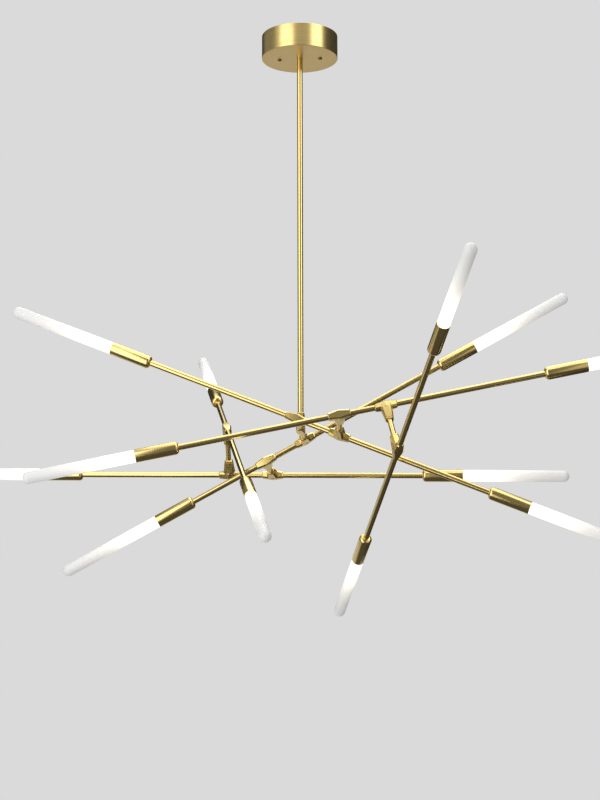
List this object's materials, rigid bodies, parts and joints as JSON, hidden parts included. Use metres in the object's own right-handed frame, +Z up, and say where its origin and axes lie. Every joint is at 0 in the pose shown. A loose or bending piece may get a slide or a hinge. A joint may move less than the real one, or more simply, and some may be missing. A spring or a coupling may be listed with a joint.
{
  "type": "branching tube chandelier",
  "caption": "Ceiling chandelier of jointed double-ended brass arms with frosted glass tube lamps, branching from a centre tee on a drop rod under a drum canopy",
  "frame": {"origin": "centre of the canopy and crossbar in the ceiling plane", "axes": "+Z up into the ceiling, along the drop rod; +X to the viewer's right; -Y towards the viewer"},
  "size_m": [1.4724, 1.3222, 1.1334],
  "materials": {
    "canopy_brass": "circumferentially brushed, lacquered",
    "tube_brass": "satin brushed along its length, lacquered",
    "tee_brass": "satin, faceted",
    "socket_brass": "satin brushed along its length, lacquered",
    "frosted_glass": "acid frosted",
    "lamp_envelope": "milky",
    "lampholder_ceramic": "matte",
    "zinc_steel": "zinc plated"
  },
  "bodies": {
    "ceiling_mount": {"ceiling_crossbar": "zinc_steel", "canopy": "canopy_brass", "canopy_screws": "tube_brass", "support_nipple": "zinc_steel", "nipple_lock_nuts": "zinc_steel", "swivel_housing": "zinc_steel", "swivel_cap": "zinc_steel"},
    "drop": {"drop_rod": "tube_brass", "centre_tee": "tee_brass", "centre_link_rods": "tube_brass"},
    "inner_front_carrier": {"inner_front_carrier_tee": "tee_brass"},
    "inner_front_arm": {"inner_front_tube": "tube_brass", "inner_front_branch_tee": "tee_brass", "inner_front_link_rod": "tube_brass", "inner_front_socket_left": "socket_brass", "inner_front_socket_right": "socket_brass", "inner_front_glass_tubes": "frosted_glass", "inner_front_lampholders": "lampholder_ceramic", "inner_front_lamps": "lamp_envelope"},
    "outer_front_carrier": {"outer_front_carrier_tee": "tee_brass"},
    "outer_front_arm": {"outer_front_tube": "tube_brass", "outer_front_branch_tee": "tee_brass", "outer_front_link_rod": "tube_brass", "outer_front_socket_left": "socket_brass", "outer_front_socket_right": "socket_brass", "outer_front_glass_tubes": "frosted_glass", "outer_front_lampholders": "lampholder_ceramic", "outer_front_lamps": "lamp_envelope"},
    "right_cross_carrier": {"right_cross_carrier_tee": "tee_brass"},
    "right_cross_arm": {"right_cross_tube": "tube_brass", "right_cross_socket_upper": "socket_brass", "right_cross_socket_lower": "socket_brass", "right_cross_glass_tubes": "frosted_glass", "right_cross_lampholders": "lampholder_ceramic", "right_cross_lamps": "lamp_envelope"},
    "inner_rear_carrier": {"inner_rear_carrier_tee": "tee_brass"},
    "inner_rear_arm": {"inner_rear_tube": "tube_brass", "inner_rear_branch_tee": "tee_brass", "inner_rear_link_rod": "tube_brass", "inner_rear_socket_left": "socket_brass", "inner_rear_socket_right": "socket_brass", "inner_rear_glass_tubes": "frosted_glass", "inner_rear_lampholders": "lampholder_ceramic", "inner_rear_lamps": "lamp_envelope"},
    "outer_rear_carrier": {"outer_rear_carrier_tee": "tee_brass"},
    "outer_rear_arm": {"outer_rear_tube": "tube_brass", "outer_rear_branch_tee": "tee_brass", "outer_rear_link_rod": "tube_brass", "outer_rear_socket_left": "socket_brass", "outer_rear_socket_right": "socket_brass", "outer_rear_glass_tubes": "frosted_glass", "outer_rear_lampholders": "lampholder_ceramic", "outer_rear_lamps": "lamp_envelope"},
    "left_cross_carrier": {"left_cross_carrier_tee": "tee_brass"},
    "left_cross_arm": {"left_cross_tube": "tube_brass", "left_cross_socket_upper": "socket_brass", "left_cross_socket_lower": "socket_brass", "left_cross_glass_tubes": "frosted_glass", "left_cross_lampholders": "lampholder_ceramic", "left_cross_lamps": "lamp_envelope"}
  },
  "joints": [
    {"name": "drop_swivel", "type": "hinge", "parent": "ceiling_mount", "child": "drop", "pos_m": [0, 0, -0.034], "axis": [0, 0, 1], "range_deg": [-170, 170]},
    {"name": "inner_front_swing", "type": "hinge", "parent": "drop", "child": "inner_front_carrier", "pos_m": [-0.00854, -0.09763, -0.81], "axis": [-0.0872, -0.9962, 0], "range_deg": [-60, 30]},
    {"name": "inner_front_twist", "type": "hinge", "parent": "inner_front_carrier", "child": "inner_front_arm", "pos_m": [-0.00854, -0.09763, -0.81], "axis": [-0.921, 0.0806, 0.3811], "range_deg": [-25, 50]},
    {"name": "outer_front_swing", "type": "hinge", "parent": "inner_front_arm", "child": "outer_front_carrier", "pos_m": [0.07117, -0.20274, -0.8271], "axis": [0.0172, 0.9858, -0.1669], "range_deg": [-12, 60]},
    {"name": "outer_front_twist", "type": "hinge", "parent": "outer_front_carrier", "child": "outer_front_arm", "pos_m": [0.07117, -0.20274, -0.8271], "axis": [0.9791, 0.0172, 0.2027], "range_deg": [-60, 20]},
    {"name": "right_cross_swing", "type": "hinge", "parent": "outer_front_arm", "child": "right_cross_carrier", "pos_m": [0.1772, -0.23571, -0.90034], "axis": [0.196, -0.347, -0.9171], "range_deg": [-45, 30]},
    {"name": "right_cross_twist", "type": "hinge", "parent": "right_cross_carrier", "child": "right_cross_arm", "pos_m": [0.1772, -0.23571, -0.90034], "axis": [-0.1705, 0.909, -0.3804], "range_deg": [-170, 170]},
    {"name": "inner_rear_swing", "type": "hinge", "parent": "drop", "child": "inner_rear_carrier", "pos_m": [0.00854, 0.09763, -0.81], "axis": [-0.0872, -0.9962, 0], "range_deg": [-30, 60]},
    {"name": "inner_rear_twist", "type": "hinge", "parent": "inner_rear_carrier", "child": "inner_rear_arm", "pos_m": [0.00854, 0.09763, -0.81], "axis": [-0.8771, 0.0767, -0.4741], "range_deg": [-60, 12]},
    {"name": "outer_rear_swing", "type": "hinge", "parent": "inner_rear_arm", "child": "outer_rear_carrier", "pos_m": [-0.05644, 0.20274, -0.85923], "axis": [0.1264, 0.9892, -0.0737], "range_deg": [-40, 32]},
    {"name": "outer_rear_twist", "type": "hinge", "parent": "outer_rear_carrier", "child": "outer_rear_arm", "pos_m": [-0.05644, 0.20274, -0.85923], "axis": [0.9911, -0.129, -0.0316], "range_deg": [-10, 25]},
    {"name": "left_cross_swing", "type": "hinge", "parent": "outer_rear_arm", "child": "left_cross_carrier", "pos_m": [-0.14822, 0.16146, -0.77225], "axis": [0.042, 0.53, -0.847], "range_deg": [-20, 60]},
    {"name": "left_cross_twist", "type": "hinge", "parent": "left_cross_carrier", "child": "left_cross_arm", "pos_m": [-0.14822, 0.16146, -0.77225], "axis": [0.1452, -0.8419, -0.5197], "range_deg": [-170, 170]}
  ]
}
